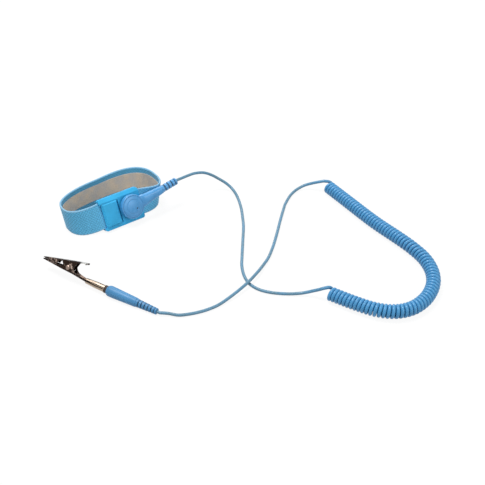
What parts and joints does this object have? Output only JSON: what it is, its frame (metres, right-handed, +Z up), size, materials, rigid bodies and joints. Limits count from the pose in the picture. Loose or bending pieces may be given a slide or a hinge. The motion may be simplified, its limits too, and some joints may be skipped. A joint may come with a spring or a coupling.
{
  "type": "esd wrist strap",
  "caption": "Elastic grounding wristband with a metal-backed clasp and snap, joined by a curly cord with straight leads to a banana plug that carries an alligator clip.",
  "frame": {"origin": "middle of the wristband's footprint, on the surface that it stands on", "axes": "+X along the wristband's long axis and the clasp, +Z up, -Y towards the snap connector on the front of the clasp"},
  "size_m": [0.2267, 0.244, 0.0232],
  "materials": {
    "strap_fabric": "woven elastic, matt",
    "lining_fabric": "woven with conductive yarn, matt",
    "clasp_plastic": "satin moulded plastic",
    "plated_steel": "bright nickel plate",
    "stainless_steel": "brushed",
    "spring_brass": "bright",
    "connector_plastic": "soft satin plastic",
    "resistor_body": "lacquered",
    "tinned_copper": "tinned",
    "cord_jacket": "satin polyurethane",
    "coil_jacket": "satin polyurethane",
    "grip_plastic": "soft satin plastic",
    "plug_brass": "plated, slightly worn",
    "jaw_steel": "dark bronzed plate"
  },
  "bodies": {
    "cord_set": {"snap_socket": "plated_steel", "snap_housing": "connector_plastic", "snap_cover": "connector_plastic", "resistor": "resistor_body", "resistor_leads": "tinned_copper", "snap_strain_relief": "connector_plastic", "cord_lead_strap": "cord_jacket", "cord_coil": "coil_jacket", "cord_lead_plug": "cord_jacket", "plug_handle": "grip_plastic", "plug_strain_relief": "grip_plastic", "plug_pin": "plug_brass", "plug_crimp": "tinned_copper"},
    "snap_ring": {"snap_spring_ring": "spring_brass"},
    "wristband": {"elastic_band": "strap_fabric", "conductive_lining": "lining_fabric", "buckle_base": "clasp_plastic", "flap_hinge_pin": "plated_steel", "skin_plate": "stainless_steel", "snap_stud": "plated_steel", "stud_rivet": "stainless_steel"},
    "flap": {"clamp_flap": "clasp_plastic"},
    "plug_cage": {"plug_spring_cage": "spring_brass"},
    "clip": {"clip_socket": "plug_brass", "clip_lower_jaw": "jaw_steel", "clip_rivet": "plated_steel", "clip_spring": "plated_steel"},
    "clip_jaw": {"clip_upper_jaw": "jaw_steel"}
  },
  "joints": [
    {"name": "snap_swivel", "type": "hinge", "parent": "cord_set", "child": "snap_ring", "pos_m": [0.007, -0.01652, 0.01247], "axis": [0, -0.9135, 0.4067], "continuous": true},
    {"name": "snap_pull", "type": "slide", "parent": "snap_ring", "child": "wristband", "axis": [0, 0.9135, -0.4067], "range_m": [0, 0.012], "deforming": ["snap_spring_ring"]},
    {"name": "flap_hinge", "type": "hinge", "parent": "wristband", "child": "flap", "pos_m": [-0.0143, -0.01569, 0.0121], "axis": [0, -0.4067, -0.9135], "range_deg": [0, 110]},
    {"name": "cage_spin", "type": "hinge", "parent": "cord_set", "child": "plug_cage", "pos_m": [-0.0508, -0.0812, 0.00385], "axis": [-0.3985, 0.9164, 0.0384], "continuous": true},
    {"name": "clip_pull", "type": "slide", "parent": "plug_cage", "child": "clip", "axis": [-0.3985, 0.9164, 0.0384], "range_m": [0, 0.02]},
    {"name": "jaw_open", "type": "hinge", "parent": "clip", "child": "clip_jaw", "pos_m": [-0.0617, -0.05067, 0.00845], "axis": [0.7608, 0.3536, -0.5442], "range_deg": [0, 24], "stiffness_Nm_per_rad": 0.05, "springref_deg": -34.38, "deforming": ["clip_spring"]}
  ]
}
